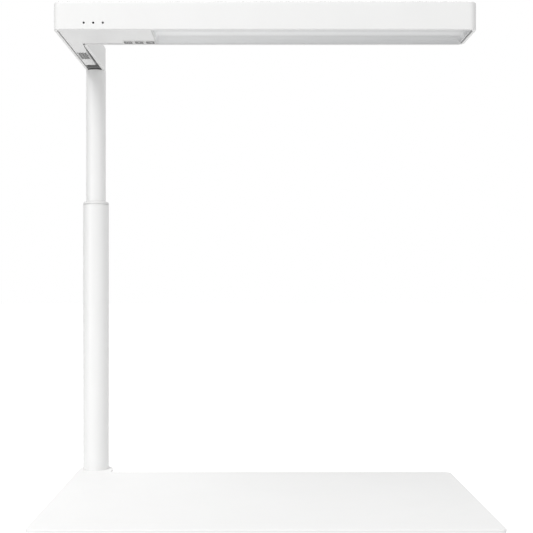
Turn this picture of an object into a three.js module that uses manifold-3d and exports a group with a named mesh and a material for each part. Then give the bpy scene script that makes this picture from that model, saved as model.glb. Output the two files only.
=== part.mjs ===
// Table-top LED light for small copy and product work: a thin steel base plate, a telescopic post
// at its rear left, and a flat L-shaped head that carries a long diffuser over the plate.
// Millimetres, +X to the right, +Y to the rear, +Z up.
// The origin is on the ground, under the centre of the object's footprint.

import * as THREE from "three";
import { mergeVertices } from "three/addons/utils/BufferGeometryUtils.js";
import Module from "manifold-3d";

const wasm = await Module();
wasm.setup();

// ---------------------------------------------------------------- driving dimensions

const GAP = 0.3; // clearance left between two pieces that rest on each other
const PAST = 1; // how far a cutting tool runs past the face that it opens
const FINE = 48; // sides of the two tubes and their collar
const MEDIUM = 24; // sides of the round pieces inside them
const COARSE = 16; // sides of screws, pins and other small round pieces
const HEX = 6; // sides of a screw's socket and of a grille hole
const CORNER_STEPS = 7; // steps along each rounded corner of an outline

const plate = { width: 360, depth: 231, thickness: 3, cornerRadius: 6, tabRadius: 16.5, tabFillet: 4 };
const pad = { radius: 7, height: 1.2, inset: 16 };
const post = { fromFront: 248, outerRadius: 12.5, outerWall: 1.5, innerRadius: 9.5, innerWall: 1.2 };
const bush = { top: 265.5, flange: 2.6, flangeRadius: 12.1, sleeve: 42, bore: 9.7, edge: 0.9 };
const mast = { bottom: 158.5, guideHead: 12.2, guideSpigot: 17, guideClear: 0.4 };
const brake = { groove: 4, depth: 1.2, proud: 0.2 }; // the rubber ring around the lower guide
const head = {
  underside: 393.5,
  height: 23,
  width: 345.5,
  setBack: 74,
  barDepth: 58,
  armWidth: 18.5,
  cornerRadius: 6.5,
  innerRadius: 3,
  wall: 2.5,
  roof: 2,
};
const cover = { recess: 0.6, thickness: 2, groove: 0.7, right: -93.3, armLength: 147 };
// The cover's strip: its right edge from the post's axis at its front, at the knee and at its rear.
const strip = { frontRight: 6.3, right: 4.7, rearRight: 3.6, knee: 28 };
const grille = { from: 93, to: 119, hole: 1.08, pitch: 2.5, screen: 0.5, border: 1.5 };
const diffuser = { clear: 0.6, clearRight: 1.1, rim: 0.7, rimHeight: 1.5, depth: 4.4, thickness: 1.8 };
const cove = { end: 2, front: 1.5, rear: 8 }; // how far each side of the dish leans inwards
const tray = { wall: 1, height: 5.7, border: 1, pads: [-15, 115] };
const ledBoard = { fromFront: 34, width: 10, thickness: 1.6, count: 22, chip: 3, chipHeight: 0.8 };
const trayPadSize = { width: 24, depth: 12 };
const frame = { thickness: 1.5, clear: 1, top: 410.5 };
const liner = { thickness: 0.6, fromBar: 2 };
const button = { pitch: 9.5, fromFront: 48.5, fromEnd: 4.8, width: 7.9, depth: 9.6, corner: 1.2 };
const press = { travel: 0.8, proud: 0.5, spare: 0.2 }; // how far a button moves and stands out
const lip = { thickness: 0.7, over: 0.45 }; // the flange that keeps a button behind its window
const board = { thickness: 1.6, underside: 402.8, left: -166, front: -38, clear: 0.75, clearRight: 1.8 };
const spacer = { radius: 2.5, inset: 4, places: [-160, -103] };
const indicator = { pitch: 7.75, middle: -139.75, above: 5.6, pinRadius: 0.5, holeRadius: 0.8, setBack: 0.1 };
const pipeBar = { thickness: 2, height: 3, end: 3 }; // the bar that carries the indicators' light pins
const inlet = { y: 70, z: 403.3, size: 8.8, length: 9, bezelRadius: 3.7, setBack: 0.2 };
const jack = { radius: 2.75, floor: 1.5, pinRadius: 1, pinSetBack: 1.5, pinRoot: 1 };
const wireRadius = 0.8;
const wireClear = 0.6; // around the wire in the tray's hole

// ---------------------------------------------------------------- places worked out from them

const frontY = -(post.fromFront + plate.tabRadius) / 2;
const plateRear = frontY + plate.depth;
const plateBottom = pad.height + GAP;
const plateTop = plateBottom + plate.thickness;
const postX = plate.tabRadius - plate.width / 2;
const postY = frontY + post.fromFront;

const headLeft = -head.width / 2;
const headRight = head.width / 2;
const barFront = frontY + head.setBack;
const barRear = barFront + head.barDepth;
const barMiddle = (barFront + barRear) / 2;
const headTop = head.underside + head.height;
const roofInside = headTop - head.roof;

const frameBottom = frame.top - frame.thickness;
const coverBottom = head.underside + cover.recess;
const coverTop = coverBottom + cover.thickness;
const diffuserLeft = cover.right + GAP;
const diffuserTop = coverBottom + diffuser.depth + diffuser.thickness;
const trayBottom = diffuserTop + GAP;
const trayTop = trayBottom + tray.height;
const buttonY = barFront + button.fromFront;
const buttonXs = [2, 1, 0].map((place) => cover.right - button.fromEnd - place * button.pitch);
const stripMiddle = (headLeft + head.wall + cover.groove + postX + strip.right) / 2;

// ---------------------------------------------------------------- materials

function finish(color, roughness, metalness = 0) {
  return new THREE.MeshStandardMaterial({ color, roughness, metalness });
}

const whitePaint = finish(0xf3f3f2, 0.38);
const whitePlastic = finish(0xf1f1f0, 0.45);
const opal = finish(0xdadbdb, 0.3);
const greyRubber = finish(0x8d8f91, 0.9);
const blackPlastic = finish(0x18191a, 0.6);
const linerFilm = finish(0x7c7d7f, 0.7);
const castMetal = finish(0x9a9c9f, 0.6, 0.5);
const steel = finish(0xb9bcc0, 0.35, 0.9);
const aluminium = finish(0xc9cbce, 0.45, 0.8);
const clearPlastic = finish(0x4b4f55, 0.2);
const circuit = finish(0xe7e8e6, 0.5);
const wireSheath = finish(0xb8b8b6, 0.6);

// ---------------------------------------------------------------- solids

// A closed manifold solid from any closed three.js geometry.
function toSolid(geometry) {
  const bare = geometry.clone();
  bare.deleteAttribute("normal");
  bare.deleteAttribute("uv");
  const welded = mergeVertices(bare);
  const corners = welded.index.array;
  const faces = [];
  for (let i = 0; i < corners.length; i += 3) {
    const [a, b, c] = corners.slice(i, i + 3);
    if (a !== b && b !== c && c !== a) {
      faces.push(a, b, c);
    }
  }
  const vertProperties = new Float32Array(welded.attributes.position.array);
  const triVerts = new Uint32Array(faces);
  return new wasm.Manifold(new wasm.Mesh({ numProp: 3, vertProperties, triVerts }));
}

function toGeometry(solid) {
  const { vertProperties, triVerts } = solid.getMesh();
  const geometry = new THREE.BufferGeometry();
  geometry.setAttribute("position", new THREE.BufferAttribute(vertProperties, 3));
  geometry.setIndex(new THREE.BufferAttribute(triVerts, 1));
  geometry.computeVertexNormals();
  return geometry;
}

// The body with some geometries joined on, and then others cut away.
function shaped(body, joined, removed = []) {
  let solid = toSolid(body);
  for (const piece of joined) {
    solid = solid.add(toSolid(piece));
  }
  for (const piece of removed) {
    solid = solid.subtract(toSolid(piece));
  }
  return toGeometry(solid);
}

// The volume that two geometries share.
function common(first, second) {
  return toGeometry(toSolid(first).intersect(toSolid(second)));
}

function block(x0, x1, y0, y1, z0, z1) {
  const geometry = new THREE.BoxGeometry(x1 - x0, y1 - y0, z1 - z0);
  return geometry.translate((x0 + x1) / 2, (y0 + y1) / 2, (z0 + z1) / 2);
}

// A block whose plan is the rectangle low at z0 and the rectangle high at z1.
function tapered(low, high, z0, z1) {
  const geometry = new THREE.BoxGeometry(1, 1, 1);
  const corners = geometry.attributes.position;
  for (let i = 0; i < corners.count; i += 1) {
    const upper = corners.getZ(i) > 0;
    const [x0, x1, y0, y1] = upper ? high : low;
    corners.setXYZ(i, corners.getX(i) > 0 ? x1 : x0, corners.getY(i) > 0 ? y1 : y0, upper ? z1 : z0);
  }
  return geometry;
}

// A plan outline raised from z0 to z1.
function raised(shape, z0, z1) {
  const options = { depth: z1 - z0, bevelEnabled: false, curveSegments: CORNER_STEPS };
  return new THREE.ExtrudeGeometry(shape, options).translate(0, 0, z0);
}

// A profile of [radius, height] points turned about the upright axis through x, y.
function turned(profile, x, y, sides = MEDIUM) {
  const points = profile.map(([radius, height]) => new THREE.Vector2(radius, height));
  const geometry = new THREE.LatheGeometry(points, sides);
  return geometry.rotateX(Math.PI / 2).translate(x, y, 0);
}

function rod(radius, z0, z1, x, y, sides = COARSE) {
  return turned([[0, z0], [radius, z0], [radius, z1], [0, z1]], x, y, sides);
}

function tube(outer, inner, z0, z1, x, y, sides = MEDIUM) {
  return turned([[outer, z0], [outer, z1], [inner, z1], [inner, z0], [outer, z0]], x, y, sides);
}

// A round bar that runs from y0 to y1.
function crossRod(radius, y0, y1, x, z) {
  const geometry = new THREE.CylinderGeometry(radius, radius, y1 - y0, COARSE);
  return geometry.translate(x, (y0 + y1) / 2, z);
}

// A round bar that runs from x0 to x1.
function sideRod(radius, x0, x1, y, z) {
  const geometry = new THREE.CylinderGeometry(radius, radius, x1 - x0, COARSE).rotateZ(Math.PI / 2);
  return geometry.translate((x0 + x1) / 2, y, z);
}

function wire(points, steps) {
  const circle = new THREE.Shape().absarc(0, 0, wireRadius, 0, 2 * Math.PI);
  const path = new THREE.CatmullRomCurve3(points.map((point) => new THREE.Vector3(...point)));
  return new THREE.ExtrudeGeometry(circle, { extrudePath: path, steps, curveSegments: 4 });
}

// ---------------------------------------------------------------- outlines

function roundedBox(x0, x1, y0, y1, radius) {
  const shape = new THREE.Shape();
  shape.moveTo(x0 + radius, y0);
  shape.lineTo(x1 - radius, y0);
  shape.absarc(x1 - radius, y0 + radius, radius, -Math.PI / 2, 0);
  shape.lineTo(x1, y1 - radius);
  shape.absarc(x1 - radius, y1 - radius, radius, 0, Math.PI / 2);
  shape.lineTo(x0 + radius, y1);
  shape.absarc(x0 + radius, y1 - radius, radius, Math.PI / 2, Math.PI);
  shape.lineTo(x0, y0 + radius);
  shape.absarc(x0 + radius, y0 + radius, radius, Math.PI, 1.5 * Math.PI);
  return shape;
}

// The plate is a rounded rectangle with a half-round tab behind its rear left corner for the post.
function plateOutline() {
  const side = plate.width / 2;
  const r = plate.cornerRadius;
  const fillet = plate.tabFillet;
  const tabRight = postX + plate.tabRadius;
  const shape = new THREE.Shape();
  shape.moveTo(-side + r, frontY);
  shape.lineTo(side - r, frontY);
  shape.absarc(side - r, frontY + r, r, -Math.PI / 2, 0);
  shape.lineTo(side, plateRear - r);
  shape.absarc(side - r, plateRear - r, r, 0, Math.PI / 2);
  shape.lineTo(tabRight + fillet, plateRear);
  shape.absarc(tabRight + fillet, plateRear + fillet, fillet, -Math.PI / 2, -Math.PI, true);
  shape.lineTo(tabRight, postY);
  shape.absarc(postX, postY, plate.tabRadius, 0, Math.PI);
  shape.lineTo(-side, frontY + r);
  shape.absarc(-side + r, frontY + r, r, Math.PI, 1.5 * Math.PI);
  return shape;
}

// The head's L-shaped outline, moved inwards by inset. The arm ends in a half round about the post.
function headOutline(inset) {
  const left = headLeft + inset;
  const right = headRight - inset;
  const front = barFront + inset;
  const rear = barRear - inset;
  const armRadius = head.armWidth / 2 - inset;
  const armRight = postX + armRadius;
  const r = head.cornerRadius - inset;
  const ri = head.innerRadius + inset;
  const shape = new THREE.Shape();
  shape.moveTo(left + r, front);
  shape.lineTo(right - r, front);
  shape.absarc(right - r, front + r, r, -Math.PI / 2, 0);
  shape.lineTo(right, rear - r);
  shape.absarc(right - r, rear - r, r, 0, Math.PI / 2);
  shape.lineTo(armRight + ri, rear);
  shape.absarc(armRight + ri, rear + ri, ri, -Math.PI / 2, -Math.PI, true);
  shape.lineTo(armRight, postY);
  shape.absarc(postX, postY, armRadius, 0, Math.PI);
  shape.lineTo(left, front + r);
  shape.absarc(left + r, front + r, r, Math.PI, 1.5 * Math.PI);
  return shape;
}

// The lower cover closes the left end of the bar and runs back as a narrowing strip under the arm.
function coverOutline() {
  const inset = head.wall + cover.groove;
  const left = headLeft + inset;
  const front = barFront + inset;
  const rear = barRear - inset;
  const stripRear = barFront + cover.armLength;
  const r = head.cornerRadius - inset;
  const shape = new THREE.Shape();
  shape.moveTo(left + r, front);
  shape.lineTo(cover.right, front);
  shape.lineTo(cover.right, rear);
  shape.lineTo(postX + strip.frontRight, rear);
  shape.lineTo(postX + strip.right, barRear + strip.knee);
  shape.lineTo(postX + strip.rearRight, stripRear);
  shape.lineTo(left, stripRear);
  shape.lineTo(left, front + r);
  shape.absarc(left + r, front + r, r, Math.PI, 1.5 * Math.PI);
  return shape;
}

// ---------------------------------------------------------------- base and post

const postScrew = { headRadius: 6, headHeight: 2.2, radius: 3, tip: 22, hex: 2.3, hexDepth: 1.5, clear: 0.4 };
const footPlug = { height: 23, radius: post.outerRadius - post.outerWall - GAP };
const tubeTop = bush.top - bush.flange - GAP;
const mastTop = head.underside - GAP;

function basePlate() {
  const mouthRadius = postScrew.headRadius + postScrew.clear;
  const holeRadius = postScrew.radius + postScrew.clear;
  const countersink = turned(
    [
      [0, plateBottom - PAST],
      [mouthRadius, plateBottom - PAST],
      [mouthRadius, plateBottom],
      [holeRadius, plateBottom + postScrew.headHeight],
      [holeRadius, plateTop + PAST],
      [0, plateTop + PAST],
    ],
    postX,
    postY,
    COARSE,
  );
  return shaped(raised(plateOutline(), plateBottom, plateTop), [], [countersink]);
}

function padPlaces() {
  const side = plate.width / 2 - pad.inset;
  const rows = [frontY + pad.inset, plateRear - pad.inset];
  return rows.flatMap((y) => [-side, 0, side].map((x) => [x, y]));
}

function countersunkScrew() {
  const body = turned(
    [
      [0, plateBottom],
      [postScrew.headRadius, plateBottom],
      [postScrew.radius, plateBottom + postScrew.headHeight],
      [postScrew.radius, postScrew.tip],
      [0, postScrew.tip],
    ],
    postX,
    postY,
    COARSE,
  );
  const hex = rod(postScrew.hex, plateBottom - PAST, plateBottom + postScrew.hexDepth, postX, postY, HEX);
  return shaped(body, [], [hex]);
}

function guideBush() {
  const sleeveRadius = post.outerRadius - post.outerWall - GAP;
  const flangeBottom = bush.top - bush.flange;
  const sleeveBottom = flangeBottom - bush.sleeve;
  const profile = [
    [sleeveRadius, sleeveBottom],
    [sleeveRadius, flangeBottom],
    [bush.flangeRadius, flangeBottom],
    [bush.flangeRadius, bush.top - bush.edge],
    [bush.flangeRadius - bush.edge, bush.top],
    [bush.bore + bush.edge, bush.top],
    [bush.bore, bush.top - bush.edge],
    [bush.bore, sleeveBottom],
    [sleeveRadius, sleeveBottom],
  ];
  return turned(profile, postX, postY, FINE);
}

// Plastic guide pressed into the lower end of the inner tube, with a groove for the brake ring.
const guideRadius = post.outerRadius - post.outerWall - mast.guideClear;
const guideBottom = mast.bottom - GAP - mast.guideHead;
const grooveBottom = guideBottom + (mast.guideHead - brake.groove) / 2;
const grooveTop = grooveBottom + brake.groove;

function lowerGuide() {
  const headTopZ = mast.bottom - GAP;
  const spigotRadius = post.innerRadius - post.innerWall - GAP;
  const grooveRadius = guideRadius - brake.depth;
  const profile = [
    [0, guideBottom],
    [guideRadius, guideBottom],
    [guideRadius, grooveBottom],
    [grooveRadius, grooveBottom],
    [grooveRadius, grooveTop],
    [guideRadius, grooveTop],
    [guideRadius, headTopZ],
    [spigotRadius, headTopZ],
    [spigotRadius, headTopZ + mast.guideSpigot],
    [0, headTopZ + mast.guideSpigot],
  ];
  return turned(profile, postX, postY);
}

function brakeRing() {
  const inside = guideRadius - brake.depth + GAP;
  const outside = guideRadius + brake.proud;
  return tube(outside, inside, grooveBottom + GAP, grooveTop - GAP, postX, postY);
}

// ---------------------------------------------------------------- swivel under the arm's rear end

const spigot = { plugDepth: 20, neckRadius: 3.6, neckTop: 407.4, threadRadius: 2.3, threadBottom: 395 };
const socket = { top: 408.7, front: 12, tongue: 18, tongueBottom: 403.5, screwHole: 1.8, screwHoleDepth: 4 };
const socketScrew = { radius: 1.5, depth: 3.6, headRadius: 2.8, headHeight: 1.9 };
const swivelScrew = { radius: 2, headRadius: 3.6, headHeight: 2.3, tip: 396, hex: 1.5, hexDepth: 1.3 };
const washer = { thickness: 0.6, radius: 4.6, lowerRadius: 6 };
const socketBottom = mastTop + GAP + washer.thickness + GAP;
const washerBottom = socket.top + GAP;
const swivelHeadBottom = washerBottom + washer.thickness + GAP;
const tongueScrewY = postY - socket.front - socket.tongue / 2;

function swivelSpigot() {
  const plugRadius = post.innerRadius - post.innerWall - GAP;
  const profile = [
    [0, mastTop - spigot.plugDepth],
    [plugRadius, mastTop - spigot.plugDepth],
    [plugRadius, mastTop],
    [spigot.neckRadius, mastTop],
    [spigot.neckRadius, spigot.neckTop],
    [spigot.threadRadius, spigot.neckTop],
    [spigot.threadRadius, spigot.threadBottom],
    [0, spigot.threadBottom],
  ];
  return turned(profile, postX, postY);
}

function flatWasher(outside, inside, bottom) {
  return tube(outside, inside, bottom, bottom + washer.thickness, postX, postY);
}

// The block fills the rounded rear end of the arm, and its tongue carries the head frame.
function socketBlock() {
  const radius = head.armWidth / 2 - head.wall - GAP;
  const front = postY - socket.front;
  const [left, right] = [postX - radius, postX + radius];
  const outline = new THREE.Shape();
  outline.moveTo(left, front);
  outline.lineTo(right, front);
  outline.lineTo(right, postY);
  outline.absarc(postX, postY, radius, 0, Math.PI);
  const tongue = block(left, right, front - socket.tongue, front + PAST, socket.tongueBottom, socket.top);
  const bore = rod(spigot.neckRadius + GAP, head.underside - PAST, socket.top + PAST, postX, postY, MEDIUM);
  const holeBottom = socket.top - socket.screwHoleDepth;
  const screwHole = rod(socket.screwHole, holeBottom, socket.top + PAST, postX, tongueScrewY);
  return shaped(raised(outline, socketBottom, socket.top), [tongue], [bore, screwHole]);
}

// A cap screw whose head is on top of its shank.
function capScrew(radius, tip, headRadius, headBottom, headHeight, x, y) {
  const headTopZ = headBottom + headHeight;
  const shank = rod(radius, tip, headBottom + headHeight / 2, x, y);
  const screwHead = rod(headRadius, headBottom, headTopZ, x, y);
  const hex = rod(swivelScrew.hex, headTopZ - swivelScrew.hexDepth, headTopZ + PAST, x, y, HEX);
  return shaped(shank, [screwHead], [hex]);
}

// ---------------------------------------------------------------- head shell and frame

const boss = { radius: 3.5, hole: 1.8, depth: 0.6 };
const frameScrew = { radius: 1.5, headRadius: 2.8, headHeight: 2.1, hex: 1.2, hexDepth: 1 };
const frameScrewPlaces = [
  [-150, barMiddle],
  [-40, barMiddle],
  [70, barMiddle],
  [158, barMiddle],
  [postX, barRear + 40],
];
const bossBottom = frame.top + GAP;
const bezelHole = inlet.bezelRadius + GAP;
const indicatorZ = head.underside + indicator.above;
const indicatorXs = [-1, 0, 1].map((place) => indicator.middle + place * indicator.pitch);

function headShell() {
  const cavity = raised(headOutline(head.wall), head.underside - PAST, roofInside);
  const bosses = frameScrewPlaces.map(([x, y]) => rod(boss.radius, bossBottom, roofInside + PAST, x, y));
  const bossHoles = frameScrewPlaces.map(([x, y]) => {
    return rod(boss.hole, bossBottom - PAST, roofInside + boss.depth, x, y);
  });
  const pinHoles = indicatorXs.map((x) => {
    return crossRod(indicator.holeRadius, barFront - PAST, barFront + head.wall + PAST, x, indicatorZ);
  });
  const jackHole = sideRod(bezelHole, headLeft - PAST, headLeft + head.wall + PAST, inlet.y, inlet.z);
  const hollow = shaped(raised(headOutline(0), head.underside, headTop), [], [cavity]);
  return shaped(hollow, bosses, [...bossHoles, ...pinHoles, jackHole]);
}

// Flat L-shaped stiffener that ties the bar to the socket block.
function headFrame() {
  const plateBody = raised(headOutline(head.wall + frame.clear), frameBottom, frame.top);
  const armEnd = postY - socket.front - GAP;
  const [left, right, rear] = [postX - head.armWidth, postX + head.armWidth, postY + head.armWidth];
  const rearCut = block(left, right, armEnd, rear, frameBottom - PAST, frame.top + PAST);
  const holes = [...frameScrewPlaces, [postX, tongueScrewY]].map(([x, y]) => {
    return rod(boss.hole, frameBottom - PAST, frame.top + PAST, x, y);
  });
  return shaped(plateBody, [], [rearCut, ...holes]);
}

// A screw that comes from below, with its head under the frame.
function risingScrew(x, y) {
  const headTopZ = frameBottom - GAP;
  const headBottomZ = headTopZ - frameScrew.headHeight;
  const tip = roofInside + boss.depth - GAP;
  const hexTop = headBottomZ + frameScrew.hexDepth;
  const shank = rod(frameScrew.radius, hexTop, tip, x, y);
  const screwHead = rod(frameScrew.headRadius, headBottomZ, headTopZ, x, y);
  const hex = rod(frameScrew.hex, headBottomZ - PAST, hexTop, x, y, HEX);
  return shaped(shank, [screwHead], [hex]);
}

// ---------------------------------------------------------------- underside of the head

// A button's outline, widened all round by clear.
function buttonOutline(x, clear) {
  const w = button.width / 2 + clear;
  const d = button.depth / 2 + clear;
  return roundedBox(x - w, x + w, buttonY - d, buttonY + d, button.corner + clear);
}

function lowerCover() {
  const windows = buttonXs.map((x) => {
    return raised(buttonOutline(x, GAP), coverBottom - PAST, coverTop + PAST);
  });
  const holes = grillePlaces().map(([x, y]) => {
    return rod(grille.hole, coverBottom - PAST, coverTop + PAST, x, y, HEX);
  });
  return shaped(raised(coverOutline(), coverBottom, coverTop), [], [...windows, ...holes]);
}

// Staggered rows of four and three round holes.
function grillePlaces() {
  const places = [];
  const rowPitch = (grille.pitch * Math.sqrt(3)) / 2;
  const rows = Math.floor((grille.to - grille.from) / rowPitch);
  for (let row = 0; row <= rows; row += 1) {
    const offsets = row % 2 === 0 ? [-1.5, -0.5, 0.5, 1.5] : [-1, 0, 1];
    for (const offset of offsets) {
      places.push([stripMiddle + offset * grille.pitch, barFront + grille.from + row * rowPitch]);
    }
  }
  return places;
}

// Dark dust screen that lies on the grille inside the arm.
function dustScreen() {
  const half = 2 * grille.pitch;
  const front = barFront + grille.from - grille.border;
  const rear = barFront + grille.to + grille.border;
  const bottom = coverTop + GAP;
  return block(stripMiddle - half, stripMiddle + half, front, rear, bottom, bottom + grille.screen);
}

// The diffuser is a shallow dish, open downwards: its sides lean in from a thin rim to the flat window.
const dish = {
  left: diffuserLeft,
  right: headRight - head.wall - diffuser.clearRight,
  front: barFront + head.wall + diffuser.clear,
  rear: barRear - head.wall - diffuser.clear,
};

// The dish's rectangle moved inwards by rim, and by a share of each side's lean.
function dishPlan(rim, share) {
  return [
    dish.left + rim + share * cove.end,
    dish.right - rim - share * cove.end,
    dish.front + rim + share * cove.front,
    dish.rear - rim - share * cove.rear,
  ];
}

function diffuserPanel() {
  const rimTop = coverBottom + diffuser.rimHeight;
  const windowBottom = coverBottom + diffuser.depth;
  const rim = block(...dishPlan(0, 0), coverBottom, rimTop);
  const back = tapered(dishPlan(0, 0), dishPlan(0, 1), rimTop, diffuserTop);
  const mouth = block(...dishPlan(diffuser.rim, 0), coverBottom - PAST, coverBottom);
  const hollow = tapered(dishPlan(diffuser.rim, 0), dishPlan(diffuser.rim, 1), coverBottom, windowBottom);
  const panel = shaped(rim, [back], [mouth, hollow]);
  return common(panel, raised(headOutline(head.wall + diffuser.clear), head.underside, roofInside));
}

const [trayLeft, trayRight, trayFront, trayRear] = dishPlan(diffuser.rim - tray.border, 1);
const ledY = barFront + ledBoard.fromFront;
const ledBoardTop = trayTop - tray.wall - GAP;
const ledBoardMiddle = ledBoardTop - ledBoard.thickness / 2;

function ledTray() {
  const body = block(trayLeft, trayRight, trayFront, trayRear, trayBottom, trayTop);
  const hollow = block(
    trayLeft + tray.wall,
    trayRight - tray.wall,
    trayFront + tray.wall,
    trayRear - tray.wall,
    trayBottom - PAST,
    trayTop - tray.wall,
  );
  const holeRight = trayLeft + tray.wall + PAST;
  const wireHole = sideRod(wireRadius + wireClear, trayLeft - PAST, holeRight, ledY, ledBoardMiddle);
  return shaped(body, [], [hollow, wireHole]);
}

function ledStrip() {
  const left = trayLeft + 2 * tray.wall;
  const right = trayRight - 2 * tray.wall;
  const bottom = ledBoardTop - ledBoard.thickness;
  const chipBottom = bottom - ledBoard.chipHeight;
  const half = ledBoard.chip / 2;
  const pitch = (right - left) / ledBoard.count;
  const chips = [];
  for (let i = 0; i < ledBoard.count; i += 1) {
    const x = left + (i + 0.5) * pitch;
    chips.push(block(x - half, x + half, ledY - half, ledY + half, chipBottom, ledBoardMiddle));
  }
  const sheet = block(left, right, ledY - ledBoard.width / 2, ledY + ledBoard.width / 2, bottom, ledBoardTop);
  return shaped(sheet, chips);
}

function trayPad(x) {
  const w = trayPadSize.width / 2;
  const d = trayPadSize.depth / 2;
  return block(x - w, x + w, barMiddle - d, barMiddle + d, trayTop + GAP, frameBottom - GAP);
}

// Grey film behind the strip of the lower cover, along the whole arm.
function armLiner() {
  const half = head.armWidth / 2 - head.wall - GAP;
  const bottom = coverTop + 2 * GAP + grille.screen;
  const front = barRear + liner.fromBar;
  const rear = postY - socket.front - GAP;
  return block(postX - half, postX + half, front, rear, bottom, bottom + liner.thickness);
}

// ---------------------------------------------------------------- buttons and electronics

const lipBottom = coverTop + GAP;
const lipTop = lipBottom + lip.thickness;
const plunger = { radius: 1.5, height: 3.6 };
const plungerTop = lipTop + GAP + plunger.height;
const buttonSwitch = { size: 6, clear: 1 };
const switchBottom = lipTop + press.travel + buttonSwitch.clear;
const switchTop = board.underside - GAP;
const boardTop = board.underside + board.thickness;
const boardRear = barRear - head.wall - board.clear;
const boardRight = diffuserLeft - board.clearRight;

function buttonCap(x) {
  const w = button.width / 2 + lip.over;
  const d = button.depth / 2 + lip.over;
  const face = raised(buttonOutline(x, 0), coverBottom - press.proud, lipBottom + lip.thickness / 2);
  const flange = block(x - w, x + w, buttonY - d, buttonY + d, lipBottom, lipTop);
  return shaped(face, [flange]);
}

function tactSwitch(x) {
  const half = buttonSwitch.size / 2;
  const body = block(x - half, x + half, buttonY - half, buttonY + half, switchBottom, switchTop);
  const wellTop = plungerTop + press.travel + press.spare;
  const well = rod(plunger.radius + GAP, switchBottom - PAST, wellTop, x, buttonY);
  return shaped(body, [], [well]);
}

// What stands on the control board, with its place from the board's left front corner.
const boardParts = [
  { x: 25, y: 6, width: 9, depth: 9, height: 3 },
  { x: 40, y: 8, width: 7, depth: 5, height: 1.2 },
  { x: 26, y: 20, width: 6, depth: 6, height: 1.2 },
  { x: 38, y: 22, width: 4, depth: 8, height: 2 },
];

function controlBoard() {
  const sheet = block(board.left, boardRight, board.front, boardRear, board.underside, boardTop);
  const low = boardTop - board.thickness / 2;
  const parts = boardParts.map(({ x, y, width, depth, height }) => {
    const left = board.left + x;
    const front = board.front + y;
    return block(left, left + width, front, front + depth, low, boardTop + height);
  });
  return shaped(sheet, parts);
}

// One moulding: a bar behind the front wall with three pins that reach through it.
function lightPipe() {
  const front = barFront + head.wall + GAP;
  const back = front + pipeBar.thickness;
  const reach = indicator.pitch + pipeBar.end;
  const [left, right] = [indicator.middle - reach, indicator.middle + reach];
  const [low, high] = [indicatorZ - pipeBar.height / 2, indicatorZ + pipeBar.height / 2];
  const pinFront = barFront + indicator.setBack;
  const pinBack = front + pipeBar.thickness / 2;
  const pins = indicatorXs.map((x) => crossRod(indicator.pinRadius, pinFront, pinBack, x, indicatorZ));
  return shaped(block(left, right, front, back, low, high), pins);
}

// Barrel jack: a square body behind the arm's left wall, with a round bezel in the wall.
function powerInlet() {
  const half = inlet.size / 2;
  const bodyLeft = headLeft + head.wall + GAP;
  const bodyRight = bodyLeft + inlet.length;
  const face = headLeft + inlet.setBack;
  const body = block(bodyLeft, bodyRight, inlet.y - half, inlet.y + half, inlet.z - half, inlet.z + half);
  const bezel = sideRod(inlet.bezelRadius, face, bodyLeft + PAST, inlet.y, inlet.z);
  const well = sideRod(jack.radius, face - PAST, bodyRight - jack.floor, inlet.y, inlet.z);
  const pin = sideRod(jack.pinRadius, face + jack.pinSetBack, bodyRight - jack.pinRoot, inlet.y, inlet.z);
  const housing = shaped(body, [bezel], [well]);
  return shaped(housing, [pin]);
}

function inletWire() {
  const boardMiddle = board.underside + board.thickness / 2;
  return wire(
    [
      [postX, inlet.y - inlet.size / 2 - GAP, inlet.z],
      [postX + 0.6, inlet.y - 22, inlet.z - 1.6],
      [postX - 0.6, inlet.y - 44, inlet.z - 2],
      [postX + 0.4, inlet.y - 60, inlet.z - 1],
      [postX, boardRear + GAP, boardMiddle],
    ],
    24,
  );
}

function ledWire() {
  const start = boardRight + GAP;
  const end = trayLeft + 2 * tray.wall - GAP;
  const boardMiddle = board.underside + board.thickness / 2;
  return wire(
    [
      [start, ledY, boardMiddle],
      [(start + end) / 2, ledY, (boardMiddle + ledBoardMiddle) / 2],
      [end, ledY, ledBoardMiddle],
    ],
    6,
  );
}

// ---------------------------------------------------------------- assembly

const light = new THREE.Group();

function place(name, geometry, material) {
  const mesh = new THREE.Mesh(geometry, material);
  mesh.name = name;
  light.add(mesh);
}

function addStand() {
  place("base_plate", basePlate(), whitePaint);
  padPlaces().forEach(([x, y], i) => {
    place(`foot_pad_${i + 1}`, rod(pad.radius, 0, pad.height, x, y, MEDIUM), greyRubber);
  });
  place("post_screw", countersunkScrew(), steel);
  const plugBottom = plateTop + GAP;
  const bore = postScrew.radius + GAP;
  const plug = tube(footPlug.radius, bore, plugBottom, plugBottom + footPlug.height, postX, postY);
  place("foot_plug", plug, steel);
  const inside = post.outerRadius - post.outerWall;
  const outerTube = tube(post.outerRadius, inside, plateTop + GAP, tubeTop, postX, postY, FINE);
  place("outer_tube", outerTube, whitePaint);
  place("guide_bush", guideBush(), whitePlastic);
}

function addMast() {
  const inside = post.innerRadius - post.innerWall;
  place("inner_tube", tube(post.innerRadius, inside, mast.bottom, mastTop, postX, postY, FINE), whitePaint);
  place("lower_guide", lowerGuide(), blackPlastic);
  place("brake_ring", brakeRing(), greyRubber);
  place("swivel_spigot", swivelSpigot(), steel);
  const lowerWasher = flatWasher(washer.lowerRadius, spigot.neckRadius + GAP, mastTop + GAP);
  place("swivel_washer", lowerWasher, blackPlastic);
  place("spring_washer", flatWasher(washer.radius, spigot.threadRadius, washerBottom), steel);
  const { radius, tip, headRadius, headHeight } = swivelScrew;
  place("swivel_screw", capScrew(radius, tip, headRadius, swivelHeadBottom, headHeight, postX, postY), steel);
}

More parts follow.
